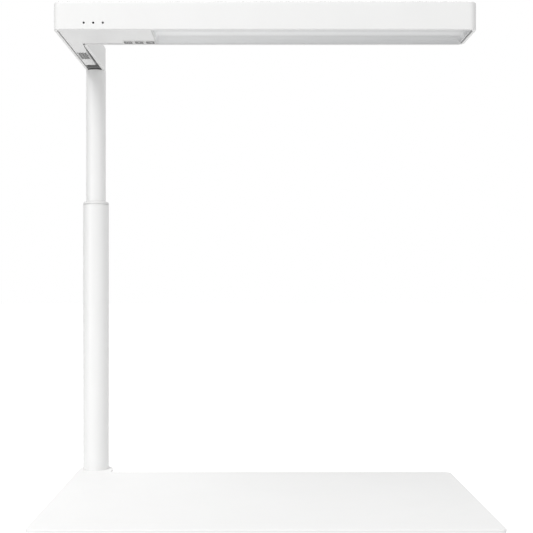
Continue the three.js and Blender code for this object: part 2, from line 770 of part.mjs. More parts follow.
function addHead() {
  place("head_shell", headShell(), whitePlastic);
  place("head_frame", headFrame(), aluminium);
  place("socket_block", socketBlock(), castMetal);
  frameScrewPlaces.forEach(([x, y], i) => {
    place(`frame_screw_${i + 1}`, risingScrew(x, y), steel);
  });
  const { radius, depth, headRadius, headHeight } = socketScrew;
  const tip = socket.top - depth;
  const socketScrewBody = capScrew(radius, tip, headRadius, bossBottom, headHeight, postX, tongueScrewY);
  place("socket_screw", socketScrewBody, steel);
  place("lower_cover", lowerCover(), whitePlastic);
  place("dust_screen", dustScreen(), blackPlastic);
  place("arm_liner", armLiner(), linerFilm);
  place("diffuser", diffuserPanel(), opal);
  place("led_tray", ledTray(), whitePlastic);
  place("led_board", ledStrip(), circuit);
  tray.pads.forEach((x, i) => {
    place(`tray_pad_${i + 1}`, trayPad(x), greyRubber);
  });
}

function addElectronics() {
  place("control_board", controlBoard(), circuit);
  const spacerY = board.front + spacer.inset;
  spacer.places.forEach((x, i) => {
    place(`board_spacer_${i + 1}`, rod(spacer.radius, boardTop + GAP, frameBottom - GAP, x, spacerY), steel);
  });
  place("light_pipe", lightPipe(), clearPlastic);
  place("power_inlet", powerInlet(), blackPlastic);
  place("inlet_wire", inletWire(), wireSheath);
  place("led_wire", ledWire(), wireSheath);
}

function addButtons() {
  buttonXs.forEach((x, i) => {
    place(`button_${i + 1}`, buttonCap(x), whitePlastic);
    place(`plunger_${i + 1}`, rod(plunger.radius, lipTop + GAP, plungerTop, x, buttonY), blackPlastic);
    place(`switch_${i + 1}`, tactSwitch(x), blackPlastic);
  });
}

addStand();
addMast();
addHead();
addElectronics();
addButtons();

export default light;
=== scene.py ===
"""Looks of the table-top LED light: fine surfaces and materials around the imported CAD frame.

Every length is in metres. Places come from the CAD nodes' boxes; MM turns millimetres into metres.
"""

import math

import bmesh
import bpy
from mathutils import Matrix, Vector


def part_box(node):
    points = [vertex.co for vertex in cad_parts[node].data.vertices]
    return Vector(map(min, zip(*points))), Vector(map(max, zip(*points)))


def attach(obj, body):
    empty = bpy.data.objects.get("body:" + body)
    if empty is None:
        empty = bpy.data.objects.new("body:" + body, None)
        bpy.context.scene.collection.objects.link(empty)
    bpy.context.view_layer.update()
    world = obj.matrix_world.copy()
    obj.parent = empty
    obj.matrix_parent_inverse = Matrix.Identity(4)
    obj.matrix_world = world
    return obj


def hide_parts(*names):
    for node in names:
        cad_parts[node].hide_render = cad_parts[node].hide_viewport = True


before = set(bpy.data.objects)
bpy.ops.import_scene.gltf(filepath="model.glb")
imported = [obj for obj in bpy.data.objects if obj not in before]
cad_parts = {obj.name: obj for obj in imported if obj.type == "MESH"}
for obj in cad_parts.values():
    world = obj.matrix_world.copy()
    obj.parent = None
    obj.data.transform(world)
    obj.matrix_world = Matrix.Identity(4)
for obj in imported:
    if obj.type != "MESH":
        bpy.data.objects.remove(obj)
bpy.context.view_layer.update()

MM = 0.001

# The play between neighbouring parts, and the sharpest bend that is still shaded smooth.
GAP = 0.3 * MM
SMOOTH_ANGLE = math.radians(38)

# ---------------------------------------------------------------- places taken from the frame

plate_low, plate_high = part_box("base_plate")
outer_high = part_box("outer_tube")[1]
inner_low, inner_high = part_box("inner_tube")
bush_low, bush_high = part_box("guide_bush")
shell_low, shell_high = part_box("head_shell")
cover_low, cover_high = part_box("lower_cover")
dish_low, dish_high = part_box("diffuser")
cap_low, cap_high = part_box("button_1")
screw_low, screw_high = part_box("post_screw")
inlet_low, inlet_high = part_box("power_inlet")
pipe_low, pipe_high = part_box("light_pipe")


def middle_of(node):
    """X and Y of the middle of a CAD node's box."""
    low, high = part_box(node)
    return (low.x + high.x) / 2, (low.y + high.y) / 2


POST_X, POST_Y = middle_of("outer_tube")

PLATE_DEPTH = 231 * MM
PLATE_CORNER = 6 * MM
TAB_RADIUS = POST_X - plate_low.x
TAB_FILLET = 4 * MM
PLATE_REAR = plate_low.y + PLATE_DEPTH

OUTER_RADIUS = outer_high.x - POST_X
OUTER_WALL = 1.5 * MM
INNER_RADIUS = inner_high.x - POST_X
INNER_WALL = 1.2 * MM

SCREW_HEAD_RADIUS = screw_high.x - POST_X
SCREW_HEAD_HEIGHT = 2.2 * MM
SCREW_SHANK_RADIUS = 3 * MM

BAR_DEPTH = 58 * MM
BAR_FRONT = shell_low.y
BAR_REAR = BAR_FRONT + BAR_DEPTH
ARM_RADIUS = POST_X - shell_low.x
HEAD_CORNER = 6.5 * MM
INNER_CORNER = 3 * MM
WALL = 2.5 * MM
ROOF = 2 * MM

# The lower cover lies inside the shell's rim with a groove around it. Under the arm it is a narrow strip
# with the grille in it, and the strip's right edge bends at the knee.
GROOVE = 0.7 * MM
STRIP_FRONT_RIGHT = POST_X + 6.3 * MM
STRIP_RIGHT = POST_X + 4.7 * MM
STRIP_KNEE = BAR_REAR + 28 * MM
STRIP_REAR_RIGHT = POST_X + 3.6 * MM
STRIP_INNER_CORNER = 1.2 * MM
STRIP_BEND = 40 * MM

GRILLE_FROM = BAR_FRONT + 93 * MM
GRILLE_LENGTH = 26 * MM
GRILLE_PITCH = 2.5 * MM
GRILLE_HOLE = 1.08 * MM

# The diffuser's rim is DISH_GAP from the shell's wall, and the dish's sides lean inwards by DISH_LEAN.
DISH_RIM = 0.7 * MM
DISH_GAP = 1.1 * MM
DISH_RIM_HEIGHT = 1.5 * MM
DISH_DEPTH = 4.4 * MM
DISH_LEAN = {"end": 2 * MM, "front": 1.5 * MM, "rear": 8 * MM}
DISH_LEFT_CORNER = 1.4 * MM
DISH_LEFT_SOFTER = 0.6 * MM

PIPE_Z = (pipe_low.z + pipe_high.z) / 2
INDICATOR_PITCH = 7.75 * MM
PINHOLE_RADIUS = 0.95 * MM

# A button's cap shows in a window of the cover, and a lip above the cover keeps it in.
LIP_OVER = 0.45 * MM
CAP_WIDTH = cap_high.x - cap_low.x - 2 * LIP_OVER
CAP_DEPTH = cap_high.y - cap_low.y - 2 * LIP_OVER
LIP_BOTTOM = cover_high.z + GAP
CAP_CORNER = 1.2 * MM
WINDOW_CORNER = 1.5 * MM
TILE_CORNER = 1 * MM


# ---------------------------------------------------------------- outlines


def fillet(corners, steps=8, closed=True):
    """A line through corners (x, y, radius), each rounded by an arc. An open line keeps its two ends."""
    points = []
    last = len(corners) - 1
    for i, (x, y, radius) in enumerate(corners):
        corner = Vector((x, y))
        if radius <= 0 or (not closed and i in (0, last)):
            points.append((x, y))
            continue
        before = (Vector(corners[i - 1][:2]) - corner).normalized()
        after = (Vector(corners[(i + 1) % len(corners)][:2]) - corner).normalized()
        half = before.angle(after) / 2
        centre = corner + (before + after).normalized() * (radius / math.sin(half))
        start = corner + before * (radius / math.tan(half)) - centre
        end = corner + after * (radius / math.tan(half)) - centre
        first = math.atan2(start.y, start.x)
        turn = math.remainder(math.atan2(end.y, end.x) - first, math.tau)
        for step in range(steps + 1):
            angle = first + turn * step / steps
            points.append((centre.x + radius * math.cos(angle), centre.y + radius * math.sin(angle)))
    return points


def circle(x, y, radius, sides):
    turns = [math.tau * i / sides for i in range(sides)]
    return [(x + radius * math.cos(turn), y + radius * math.sin(turn)) for turn in turns]


def rounded_box(x0, x1, y0, y1, radius):
    return fillet([(x0, y0, radius), (x1, y0, radius), (x1, y1, radius), (x0, y1, radius)])


def box_about(x, y, half_x, half_y, radius):
    return rounded_box(x - half_x, x + half_x, y - half_y, y + half_y, radius)


def plate_outline(inset):
    """The plate: a rounded rectangle with a half-round tab for the post behind its rear left corner."""
    left = plate_low.x + inset
    right = plate_high.x - inset
    front = plate_low.y + inset
    rear = PLATE_REAR - inset
    tab_right = POST_X + TAB_RADIUS - inset
    tab_end = POST_Y + TAB_RADIUS - inset
    corner = PLATE_CORNER - inset
    return fillet(
        [
            (left, front, corner),
            (right, front, corner),
            (right, rear, corner),
            (tab_right, rear, TAB_FILLET + inset),
            (tab_right, tab_end, TAB_RADIUS - inset),
            (left, tab_end, TAB_RADIUS - inset),
        ],
        steps=24,
    )


def head_outline(inset):
    """The head's L-shape. Its arm ends in a half round about the post."""
    left = shell_low.x + inset
    right = shell_high.x - inset
    front = BAR_FRONT + inset
    rear = BAR_REAR - inset
    radius = ARM_RADIUS - inset
    corner = HEAD_CORNER - inset
    return fillet(
        [
            (left, front, corner),
            (right, front, corner),
            (right, rear, corner),
            (POST_X + radius, rear, INNER_CORNER + inset),
            (POST_X + radius, POST_Y + radius, radius),
            (left, POST_Y + radius, radius),
        ],
        steps=20,
    )


def cover_outline():
    """The cover under the head's left end, with its strip under the arm."""
    corner = HEAD_CORNER - WALL - GROOVE
    rear = BAR_REAR - WALL - GROOVE
    sharp = 0.4 * MM
    return fillet(
        [
            (cover_low.x, cover_low.y, corner),
            (cover_high.x, cover_low.y, sharp),
            (cover_high.x, rear, sharp),
            (STRIP_FRONT_RIGHT, rear, STRIP_INNER_CORNER),
            (STRIP_RIGHT, STRIP_KNEE, STRIP_BEND),
            (STRIP_REAR_RIGHT, cover_high.y, sharp),
            (cover_low.x, cover_high.y, sharp),
        ]
    )


def dish_outline(rim, lean):
    """The diffuser's border moved inwards by rim, and by a share lean of each side's slope."""
    end = rim + lean * DISH_LEAN["end"]
    front = dish_low.y + rim + lean * DISH_LEAN["front"]
    rear = dish_high.y - rim - lean * DISH_LEAN["rear"]
    left_corner = DISH_LEFT_CORNER - rim / 2 + lean * DISH_LEFT_SOFTER
    right_corner = HEAD_CORNER - WALL - DISH_GAP - rim / 2
    return fillet(
        [
            (dish_low.x + end, front, left_corner),
            (dish_high.x - end, front, right_corner),
            (dish_high.x - end, rear, right_corner),
            (dish_low.x + end, rear, left_corner),
        ]
    )


# ---------------------------------------------------------------- solids


def add_object(name, data):
    piece = bpy.data.objects.new(name, data)
    bpy.context.scene.collection.objects.link(piece)
    return piece


def from_bmesh(name, mesh):
    bmesh.ops.recalc_face_normals(mesh, faces=mesh.faces)
    data = bpy.data.meshes.new(name)
    mesh.to_mesh(data)
    mesh.free()
    return add_object(name, data)


def loft(name, rings, closed=False):
    """A skin over rings of (outline, height), capped at both ends or joined into a loop."""
    mesh = bmesh.new()
    rows = [[mesh.verts.new((x, y, z)) for x, y in outline] for outline, z in rings]
    pairs = list(zip(rows, rows[1:]))
    if closed:
        pairs.append((rows[-1], rows[0]))
    for low, high in pairs:
        for i in range(len(low)):
            mesh.faces.new((low[i - 1], low[i], high[i], high[i - 1]))
    if not closed:
        mesh.faces.new(rows[0])
        mesh.faces.new(rows[-1])
    return from_bmesh(name, mesh)


def raised(name, outline, profile):
    """An outline function of the inset, raised along a profile of (inset, height)."""
    return loft(name, [(outline(inset), z) for inset, z in profile])


def turned(name, profile, x, y, sides, closed=False):
    """A profile of (radius, height) turned about an upright axis. A closed profile makes a ring."""
    return loft(name, [(circle(x, y, radius, sides), z) for radius, z in profile], closed)


def sheet(name, outlines, z0, z1, edge):
    """A flat sheet with rounded edges. The first outline is its border and the others are its holes."""
    weld = 0.002 * MM
    curve = bpy.data.curves.new(name, "CURVE")
    curve.dimensions = "2D"
    curve.fill_mode = "BOTH"
    for outline in outlines:
        spline = curve.splines.new("POLY")
        spline.points.add(len(outline) - 1)
        for point, (x, y) in zip(spline.points, outline):
            point.co = (x, y, 0, 1)
        spline.use_cyclic_u = True
    curve.bevel_depth = edge
    curve.bevel_resolution = 2
    curve.offset = -edge
    curve.extrude = (z1 - z0) / 2 - edge
    source = add_object(name, curve)
    mesh = bmesh.new()
    mesh.from_mesh(source.to_mesh())
    source.to_mesh_clear()
    bpy.data.objects.remove(source)
    bpy.data.curves.remove(curve)
    bmesh.ops.translate(mesh, verts=mesh.verts, vec=(0, 0, (z0 + z1) / 2))
    bmesh.ops.remove_doubles(mesh, verts=mesh.verts, dist=weld)
    return from_bmesh(name, mesh)


def block(name, low, high, edge):
    """A block between two corners, with all its edges rounded."""
    mesh = bmesh.new()
    bmesh.ops.create_cube(mesh, size=1)
    bmesh.ops.scale(mesh, verts=mesh.verts, vec=high - low)
    bmesh.ops.translate(mesh, verts=mesh.verts, vec=(low + high) / 2)
    bmesh.ops.bevel(mesh, geom=mesh.edges, offset=edge, segments=3, affect="EDGES", profile=0.5)
    return from_bmesh(name, mesh)


def moved(piece, matrix):
    piece.data.transform(matrix)
    return piece


def settle(piece):
    """Bakes the piece's modifiers into its mesh."""
    bpy.context.view_layer.update()
    shaped = piece.evaluated_get(bpy.context.evaluated_depsgraph_get())
    piece.data = bpy.data.meshes.new_from_object(shaped)
    piece.modifiers.clear()


def combined(piece, tools, operation):
    """The piece with each tool joined on (UNION) or cut away (DIFFERENCE). The tools are used up."""
    for tool in tools:
        cut = piece.modifiers.new(tool.name, "BOOLEAN")
        cut.operation = operation
        cut.solver = "EXACT"
        cut.object = tool
    settle(piece)
    for tool in tools:
        bpy.data.objects.remove(tool)
    return piece


def gathered(name, parts):
    """One object that holds the meshes of several separate solids."""
    mesh = bmesh.new()
    for part in parts:
        mesh.from_mesh(part.data)
        bpy.data.objects.remove(part)
    return from_bmesh(name, mesh)


def dress(piece, body, material, slot, *nodes):
    """Smooths a piece, gives it its material and puts it on its body in place of CAD nodes."""
    data = piece.data
    data.materials.clear()
    data.materials.append(material)
    for face in data.polygons:
        face.use_smooth = True
    data.set_sharp_from_angle(angle=SMOOTH_ANGLE)
    weighted = piece.modifiers.new("weighted_normals", "WEIGHTED_NORMAL")
    weighted.keep_sharp = True
    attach(piece, body)
    if nodes:
        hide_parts(*nodes)


# ---------------------------------------------------------------- materials

# Most values of a noise texture lie between these two.
NOISE_LOW = 0.3
NOISE_HIGH = 0.7


class Graph:
    """Shader nodes that are linked as they are made."""

    def __init__(self, tree):
        self.nodes = tree.nodes
        self.links = tree.links

    def feed(self, socket, value):
        """Sets an input to a number, or links it to another node's output."""
        if isinstance(value, bpy.types.NodeSocket):
            self.links.new(value, socket)
        else:
            socket.default_value = value

    def output(self, kind, name):
        return self.nodes.new(kind).outputs[name]

    def along(self, axis, place):
        """The place's coordinate X, Y or Z."""
        split = self.nodes.new("ShaderNodeSeparateXYZ")
        self.feed(split.inputs["Vector"], place)
        return split.outputs[axis]

    def calculate(self, operation, first, second=0):
        node = self.nodes.new("ShaderNodeMath")
        node.operation = operation
        self.feed(node.inputs[0], first)
        self.feed(node.inputs[1], second)
        return node.outputs["Value"]

    def ranged(self, value, low, high, start=NOISE_LOW, end=NOISE_HIGH, kind="LINEAR"):
        """Goes from low to high as value goes from start to end."""
        remap = self.nodes.new("ShaderNodeMapRange")
        remap.interpolation_type = kind
        self.feed(remap.inputs["Value"], value)
        self.feed(remap.inputs["From Min"], start)
        self.feed(remap.inputs["From Max"], end)
        self.feed(remap.inputs["To Min"], low)
        self.feed(remap.inputs["To Max"], high)
        return remap.outputs["Result"]


class Surface(Graph):
    """A node material around one Principled shader, with all its patterns in object space."""

    def __init__(self, name, roughness, metallic=0.0):
        self.material = bpy.data.materials.new(name)
        self.material.use_nodes = True
        super().__init__(self.material.node_tree)
        self.shader = self.nodes["Principled BSDF"]
        self.shader.inputs["Roughness"].default_value = roughness
        self.shader.inputs["Metallic"].default_value = metallic
        self.place = self.output("ShaderNodeTexCoord", "Object")
        self.height = None

    def stretched(self, stretch):
        mapping = self.nodes.new("ShaderNodeMapping")
        mapping.inputs["Scale"].default_value = stretch
        self.links.new(self.place, mapping.inputs["Vector"])
        return mapping.outputs["Vector"]

    def noise(self, scale, detail, stretch=(1, 1, 1)):
        texture = self.nodes.new("ShaderNodeTexNoise")
        texture.inputs["Scale"].default_value = scale
        texture.inputs["Detail"].default_value = detail
        self.links.new(self.stretched(stretch), texture.inputs["Vector"])
        return texture.outputs["Fac"]

    def cells(self, scale, feature="F1", stretch=(1, 1, 1)):
        texture = self.nodes.new("ShaderNodeTexVoronoi")
        texture.feature = feature
        texture.inputs["Scale"].default_value = scale
        self.links.new(self.stretched(stretch), texture.inputs["Vector"])
        return texture.outputs["Distance"]

    def band(self, strength, middle, half, soft):
        """A band along X about Y = middle, falling softly from strength to 0 at both edges."""
        away = self.calculate("SUBTRACT", self.along("Y", self.place), middle)
        return self.ranged(self.calculate("ABSOLUTE", away), strength, 0, half - soft, half + soft)

    def color(self, value, dark, light, start=NOISE_LOW, end=NOISE_HIGH):
        """Base colour between dark and light as value goes from start to end."""
        ramp = self.nodes.new("ShaderNodeValToRGB")
        ramp.color_ramp.elements[0].position = start
        ramp.color_ramp.elements[0].color = (*dark, 1)
        ramp.color_ramp.elements[1].position = end
        ramp.color_ramp.elements[1].color = (*light, 1)
        self.links.new(value, ramp.inputs["Fac"])
        self.links.new(ramp.outputs["Color"], self.shader.inputs["Base Color"])

    def roughness(self, value, low, high):
        self.links.new(self.ranged(value, low, high), self.shader.inputs["Roughness"])

    def specular(self, level):
        self.shader.inputs["Specular IOR Level"].default_value = level

    def bump(self, value, depth):
        """Adds relief of the given depth on top of the relief so far."""
        bump = self.nodes.new("ShaderNodeBump")
        bump.inputs["Strength"].default_value = 1
        bump.inputs["Distance"].default_value = depth
        self.links.new(value, bump.inputs["Height"])
        if self.height is not None:
            self.links.new(self.height, bump.inputs["Normal"])
        self.height = bump.outputs["Normal"]
        self.links.new(self.height, self.shader.inputs["Normal"])


def grey(value):
    """A grey with a trace of warmth."""
    return (value, value, value * 0.995)


def white_paint():
    """Satin powder coat: soft orange peel with a fine grain."""
    surface = Surface("white_powder_coat", 0.5)
    surface.color(surface.noise(14, 4), grey(0.808), grey(0.818))
    surface.roughness(surface.noise(60, 4), 0.46, 0.54)
    surface.bump(surface.noise(260, 2), 0.003 * MM)
    surface.bump(surface.noise(1100, 2), 0.0008 * MM)
    surface.specular(0.22)
    return surface.material


def tube_paint():
    """The tubes' coat: smoother, glossier and a little greyer than the plate's."""
    surface = Surface("white_tube_coat", 0.36)
    surface.color(surface.noise(14, 4), grey(0.73), grey(0.74))
    surface.roughness(surface.noise(60, 4), 0.32, 0.4)
    surface.bump(surface.noise(260, 2), 0.002 * MM)
    surface.bump(surface.noise(1100, 2), 0.0006 * MM)
    surface.specular(0.85)
    return surface.material


def white_plastic():
    """Fine spark-eroded texture on a white moulding, with faint flow mottling."""
    surface = Surface("white_moulded_plastic", 0.42)
    surface.color(surface.noise(22, 5), grey(0.675), grey(0.689))
    surface.roughness(surface.noise(90, 4), 0.38, 0.46)
    surface.bump(surface.cells(2300), 0.004 * MM)
    surface.bump(surface.noise(3800, 2), 0.002 * MM)
    return surface.material


def button_plastic():
    """The same white moulding, polished a little by fingers."""
    surface = Surface("white_button_plastic", 0.34)
    surface.color(surface.noise(60, 4), grey(0.68), grey(0.71))
    surface.roughness(surface.noise(240, 4), 0.26, 0.4)
    surface.bump(surface.noise(2800, 2), 0.004 * MM)
    return surface.material


def opal():
    """Frosted opal sheet with the white LED board behind it. Over the board a soft light band is painted
    into the sheet's colour: painted light, standing in for light that comes back through the sheet from the
    board.

    The sheet's tone falls slowly from its left end to its right end: painted shade, as the light comes from
    the left.
    """
    surface = Surface("opal_diffuser", 0.38)
    board_low, board_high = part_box("led_board")
    middle = (board_low.y + board_high.y) / 2 + 2.5 * MM
    half = (board_high.y - board_low.y) / 2 + 1 * MM
    # Painted light: a lighter band over the LED board, for light coming back through the sheet.
    band = surface.band(0.42, middle, half, soft=3 * MM)
    cloud = surface.ranged(surface.noise(9, 3), -0.015, 0.015)
    # Painted shade: darker towards the right end, away from the light on the left.
    painted_shade_falloff = surface.ranged(surface.along("X", surface.place), 0.49, -0.02, dish_low.x, dish_high.x)
    tone = surface.calculate("ADD", surface.calculate("ADD", band, cloud), painted_shade_falloff)
    surface.color(tone, (0.548, 0.553, 0.558), (0.80, 0.805, 0.805), 0, 0.82)
    surface.roughness(surface.noise(500, 3), 0.32, 0.46)
    surface.bump(surface.cells(1700), 0.006 * MM)
    surface.shader.inputs["Subsurface Weight"].default_value = 0.12
    surface.shader.inputs["Subsurface Radius"].default_value = (0.9, 0.95, 1.0)
    surface.shader.inputs["Subsurface Scale"].default_value = 2 * MM
    return surface.material


def rubber():
    """Matt moulded rubber."""
    surface = Surface("grey_rubber", 0.85)
    surface.color(surface.noise(700, 4), grey(0.17), grey(0.24))
    surface.roughness(surface.noise(300, 3), 0.74, 0.94)
    surface.bump(surface.noise(2600, 4), 0.02 * MM)
    return surface.material


def foam():
    """Closed-cell foam pad."""
    surface = Surface("grey_foam", 0.95)
    surface.color(surface.cells(1500), grey(0.12), grey(0.3), 0.1, 0.6)
    surface.bump(surface.cells(1500), 0.12 * MM)
    return surface.material


def dark_foam():
    """Open-cell filter foam, near black. Pushed nearly flush into the grille's holes, its black also paints
    in the shade inside them.
    """
    surface = Surface("dark_filter_foam", 0.95)
    surface.color(surface.cells(2600), grey(0.006), grey(0.02), 0.1, 0.6)
    surface.bump(surface.cells(2600), 0.06 * MM)
    surface.specular(0.05)
    return surface.material


def black_plastic():
    """Fine spark-eroded texture on a black moulding."""
    surface = Surface("black_moulded_plastic", 0.5)
    surface.color(surface.noise(80, 4), grey(0.016), grey(0.026))
    surface.roughness(surface.noise(260, 4), 0.42, 0.6)
    surface.bump(surface.cells(2200), 0.008 * MM)
    return surface.material


def icon_ink():
    """Dark grey print on the buttons, with the slight unevenness of pad printing."""
    surface = Surface("icon_ink", 0.45)
    surface.color(surface.noise(900, 4), grey(0.045), grey(0.075))
    surface.roughness(surface.noise(1500, 3), 0.36, 0.55)
    surface.bump(surface.noise(3000, 2), 0.003 * MM)
    return surface.material


def liner_film():
    """Grey film with a linen-like embossing. Its dark grey is partly painted shade: it stands in for the
    shade inside the arm's pocket.
    """
    surface = Surface("liner_film", 0.7)
    surface.color(surface.noise(120, 4), grey(0.15), grey(0.2))
    surface.roughness(surface.noise(200, 3), 0.6, 0.8)
    surface.bump(surface.noise(800, 1, (1, 6, 1)), 0.01 * MM)
    surface.bump(surface.noise(800, 1, (6, 1, 1)), 0.01 * MM)
    return surface.material


def cast_metal():
    """As-cast metal: dull grey with a sandy skin, made darker than cast metal is to paint in the shade of
    the arm's pocket, where the block shows.
    """
    surface = Surface("cast_metal", 0.6, 0.4)
    surface.color(surface.noise(90, 4), grey(0.19), grey(0.25))
    surface.roughness(surface.noise(300, 3), 0.5, 0.7)
    surface.bump(surface.noise(1500, 3), 0.02 * MM)
    return surface.material


def zinc_steel():
    """Zinc plating: bluish bright grey with small cloudy spangles."""
    surface = Surface("zinc_plated_steel", 0.3, 1.0)
    surface.color(surface.cells(420), (0.47, 0.48, 0.5), (0.6, 0.61, 0.63), 0.1, 0.7)
    surface.roughness(surface.noise(500, 4), 0.22, 0.42)
    surface.bump(surface.noise(1400, 3), 0.004 * MM)
    return surface.material


def aluminium_sheet():
    """Mill-finish sheet with rolling lines along X."""
    surface = Surface("mill_aluminium", 0.38, 1.0)
    surface.color(surface.noise(30, 4, (1, 12, 1)), (0.62, 0.63, 0.65), (0.72, 0.73, 0.74))
    surface.roughness(surface.noise(120, 4, (1, 25, 1)), 0.28, 0.45)
    surface.bump(surface.noise(160, 3, (1, 30, 1)), 0.004 * MM)
    return surface.material


def circuit_board():
    """White solder mask over raised traces."""
    surface = Surface("white_circuit_board", 0.3)
    traces = surface.cells(160, "DISTANCE_TO_EDGE", (1, 1, 0.01))
    surface.color(traces, (0.55, 0.52, 0.4), (0.78, 0.78, 0.76), 0.03, 0.08)
    surface.roughness(surface.noise(400, 3), 0.22, 0.38)
    surface.bump(traces, 0.05 * MM)
    return surface.material


def smoked_plastic():
    """Smoked clear plastic, dark while its lamp is off."""
    surface = Surface("smoked_clear_plastic", 0.12)
    surface.color(surface.noise(200, 3), (0.008, 0.009, 0.011), (0.018, 0.019, 0.022))
    surface.roughness(surface.noise(600, 3), 0.08, 0.18)
    surface.bump(surface.noise(900, 2), 0.003 * MM)
    surface.shader.inputs["Transmission Weight"].default_value = 0.1
    return surface.material


def wire_sheath():
    """Soft grey wire insulation."""
    surface = Surface("wire_sheath", 0.5)
    surface.color(surface.noise(150, 3), grey(0.42), grey(0.5))
    surface.roughness(surface.noise(400, 3), 0.42, 0.6)
    surface.bump(surface.noise(1200, 3), 0.008 * MM)
    return surface.material


PAINT = white_paint()
TUBE_PAINT = tube_paint()
PLASTIC = white_plastic()
BUTTON = button_plastic()
OPAL = opal()
RUBBER = rubber()
FOAM = foam()
DARK_FOAM = dark_foam()
BLACK = black_plastic()
INK = icon_ink()
LINER = liner_film()
CAST_METAL = cast_metal()
STEEL = zinc_steel()
ALUMINIUM = aluminium_sheet()
CIRCUIT = circuit_board()
SMOKED = smoked_plastic()
SHEATH = wire_sheath()


# ---------------------------------------------------------------- base and post


def add_base():
    """The plate, with a countersunk hole for the post's screw."""
    bottom = plate_low.z
    top = plate_high.z
    edge = 0.6 * MM
    cap_inset = 3 * MM
    corners = [(cap_inset, bottom, 0), (0, bottom, edge), (0, top, edge), (cap_inset, top, 0)]
    profile = fillet(corners, steps=4, closed=False)
    plate = raised("plate_body", plate_outline, profile)
    clear = 0.4 * MM
    past = 1 * MM
    hole = [
        (SCREW_HEAD_RADIUS + clear, bottom - past),
        (SCREW_HEAD_RADIUS + clear, bottom),
        (SCREW_SHANK_RADIUS + clear, bottom + SCREW_HEAD_HEIGHT),
        (SCREW_SHANK_RADIUS + clear, top + past),
    ]
    combined(plate, [turned("countersink", hole, POST_X, POST_Y, sides=48)], "DIFFERENCE")
    dress(plate, "stand", PAINT, "white_paint", "base_plate")


def add_feet():
    """Rubber feet. Each has a shallow hollow in its face and narrows a little towards the plate."""
    hollow = 0.25 * MM
    for i in range(1, 7):
        node = f"foot_pad_{i}"
        low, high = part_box(node)
        radius = (high.x - low.x) / 2
        profile = fillet(
            [
                (radius * 0.6, low.z + hollow, 0),
                (radius * 0.72, low.z, 0.1 * MM),
                (radius, low.z, 0.4 * MM),
                (radius * 0.97, plate_low.z, 0),
            ],
            steps=4,
            closed=False,
        )
        pad = turned(f"rubber_foot_{i}", profile, *middle_of(node), sides=64)
        dress(pad, "stand", RUBBER, "grey_rubber", node)


def add_post_screw():
    """Countersunk screw with a hexagon socket, driven from below into the post's foot."""
    bottom = screw_low.z
    rim = 0.2 * MM
    tip = 0.6 * MM
    profile = [
        (SCREW_HEAD_RADIUS - rim, bottom),
        (SCREW_HEAD_RADIUS, bottom + rim),
        (SCREW_SHANK_RADIUS, bottom + SCREW_HEAD_HEIGHT),
        (SCREW_SHANK_RADIUS, screw_high.z - tip),
        (SCREW_SHANK_RADIUS - tip, screw_high.z),
    ]
    screw = turned("post_screw_body", profile, POST_X, POST_Y, sides=64)
    hex_radius = 2.3 * MM
    depth = 1.5 * MM
    socket = [(hex_radius, bottom - depth), (hex_radius, bottom + depth)]
    combined(screw, [turned("hex", socket, POST_X, POST_Y, sides=6)], "DIFFERENCE")
    dress(screw, "stand", STEEL, "steel", "post_screw")


def add_outer_tube():
    bore = OUTER_RADIUS - OUTER_WALL
    foot_edge = 0.12 * MM
    edge = 0.25 * MM
    profile = fillet(
        [
            (OUTER_RADIUS, plate_high.z, foot_edge),
            (OUTER_RADIUS, outer_high.z, edge),
            (bore, outer_high.z, edge),
            (bore, plate_high.z, edge),
        ],
        steps=4,
    )
    tube = turned("lower_post", profile, POST_X, POST_Y, sides=128, closed=True)
    dress(tube, "stand", TUBE_PAINT, "white_paint", "outer_tube")


def add_inner_tube():
    """The inner tube ends just below the head."""
    bore = INNER_RADIUS - INNER_WALL
    top = shell_low.z - 0.05 * MM
    edge = 0.15 * MM
    profile = fillet(
        [
            (INNER_RADIUS, inner_low.z, edge),
            (INNER_RADIUS, top, edge),
            (bore, top, edge),
            (bore, inner_low.z, edge),
        ],
        steps=3,
    )
    tube = turned("upper_post", profile, POST_X, POST_Y, sides=128, closed=True)
    dress(tube, "mast", TUBE_PAINT, "white_paint", "inner_tube")


def add_collar():
    """The guide bush: its sleeve is in the tube, and its soft shoulder shows as the post's collar."""
    sleeve = OUTER_RADIUS - OUTER_WALL - GAP
    bore = INNER_RADIUS + 0.2 * MM
    flange = OUTER_RADIUS - 0.1 * MM
    flange_bottom = outer_high.z + 0.25 * MM
    sharp = 0.1 * MM
    edge = 0.3 * MM
    shoulder = 2 * MM
    profile = fillet(
        [
            (flange, flange_bottom, sharp),
            (flange, bush_high.z, shoulder),
            (bore, bush_high.z, edge),
            (bore, bush_low.z, sharp),
            (sleeve, bush_low.z, edge),
            (sleeve, flange_bottom, sharp),
        ]
    )
    collar = turned("collar", profile, POST_X, POST_Y, sides=128, closed=True)
    dress(collar, "stand", PLASTIC, "white_plastic", "guide_bush")


# ---------------------------------------------------------------- head


def add_head_shell():
    """The housing: a roof, a wall with a soft upper edge, bosses under the roof, and its holes."""
    roof_inside = shell_high.z - ROOF
    roof_inset = WALL + 2 * MM
    roof_round = 0.5 * MM
    rim_inside = 0.25 * MM
    rim_outside = 0.8 * MM
    top_round = 1.1 * MM
    top_inset = 3 * MM
    profile = fillet(
        [
            (roof_inset, roof_inside, 0),
            (WALL, roof_inside, roof_round),
            (WALL, shell_low.z, rim_inside),
            (0, shell_low.z, rim_outside),
            (0, shell_high.z, top_round),
            (top_inset, shell_high.z, 0),
        ],
        steps=5,
        closed=False,
    )
    shell = raised("head_housing", head_outline, profile)
    combined(shell, shell_bosses(roof_inside), "UNION")
    combined(shell, shell_holes(roof_inside), "DIFFERENCE")
    dress(shell, "head", PLASTIC, "white_plastic", "head_shell")


def frame_screw_places():
    return [middle_of(f"frame_screw_{i}") for i in range(1, 6)]


